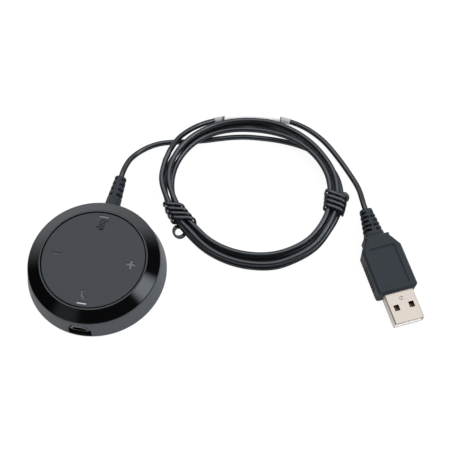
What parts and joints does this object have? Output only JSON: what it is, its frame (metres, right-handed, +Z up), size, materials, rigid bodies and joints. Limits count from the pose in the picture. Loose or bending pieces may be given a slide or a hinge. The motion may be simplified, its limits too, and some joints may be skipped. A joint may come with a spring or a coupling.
{
  "type": "inline headset controller",
  "caption": "Round desk puck with a tilting four-way press plate in a gloss bezel, a headset socket in front and a tied coil of cable that ends in a USB plug.",
  "frame": {"origin": "under the middle of the puck, on the desk, at the underside of its foot pad", "axes": "+Z up through the press plate, +Y towards the cable exit and the mute key, -Y towards the headset socket, +X towards the volume-up key"},
  "size_m": [0.1574, 0.1129, 0.0122],
  "materials": {
    "foot_rubber": "matte",
    "housing_plastic": "satin",
    "plate_plastic": "matte",
    "bezel_plastic": "polished",
    "inner_plastic": "matte",
    "surround_plastic": "satin",
    "light_pipe": "clear",
    "lamp": "clear",
    "board": "satin",
    "chip_plastic": "matte",
    "capacitor_ceramic": "matte",
    "header_plastic": "satin",
    "screw_steel": "satin",
    "dome_steel": "bright",
    "can_steel": "satin",
    "socket_steel": "satin",
    "gold": "bright",
    "wire_red": "satin",
    "wire_white": "satin",
    "wire_green": "satin",
    "wire_black": "satin",
    "cable_rubber": "satin",
    "overmould_rubber": "matte",
    "tie_coating": "satin",
    "label_film": "satin",
    "plug_nickel": "brushed",
    "tongue_plastic": "satin"
  },
  "bodies": {
    "housing": {"foot_pad": "foot_rubber", "base_shell": "housing_plastic", "housing_screws": "screw_steel", "inner_frame": "inner_plastic", "bezel_ring": "bezel_plastic", "circuit_board": "board", "board_screws": "screw_steel", "mute_call_domes": "dome_steel", "volume_domes": "dome_steel", "led_lamps": "lamp", "audio_chip": "chip_plastic", "crystal_can": "can_steel", "chip_capacitors": "capacitor_ceramic", "wire_header": "header_plastic", "wire_power": "wire_red", "wire_data_minus": "wire_white", "wire_data_plus": "wire_green", "wire_ground": "wire_black", "headset_socket_shell": "socket_steel", "headset_socket_core": "inner_plastic", "headset_socket_contacts": "gold", "socket_surround": "surround_plastic", "strain_relief": "cable_rubber", "inner_cable": "cable_rubber", "cable_clamp": "inner_plastic", "clamp_screws": "screw_steel", "cable_lead": "cable_rubber", "cable_coil": "cable_rubber", "cable_tail": "cable_rubber", "twist_tie_left": "tie_coating", "twist_tie_right": "tie_coating", "cable_label": "label_film", "plug_overmould": "overmould_rubber", "plug_shell": "plug_nickel", "plug_tongue": "tongue_plastic", "plug_contacts": "gold"},
    "gimbal": {"gimbal_ring": "inner_plastic"},
    "plate": {"button_plate": "plate_plastic", "mute_light_pipe": "light_pipe", "call_light_pipe": "light_pipe"}
  },
  "joints": [
    {"name": "mute_call_tilt", "type": "hinge", "parent": "housing", "child": "gimbal", "pos_m": [0, 0, 0.00875], "axis": [1, 0, 0], "range_deg": [-1.3, 1.3], "stiffness_Nm_per_rad": 0.8, "deforming": ["mute_call_domes"]},
    {"name": "volume_tilt", "type": "hinge", "parent": "gimbal", "child": "plate", "pos_m": [0, 0, 0.00875], "axis": [0, 1, 0], "range_deg": [-1.3, 1.3], "stiffness_Nm_per_rad": 0.8, "deforming": ["volume_domes"]}
  ]
}
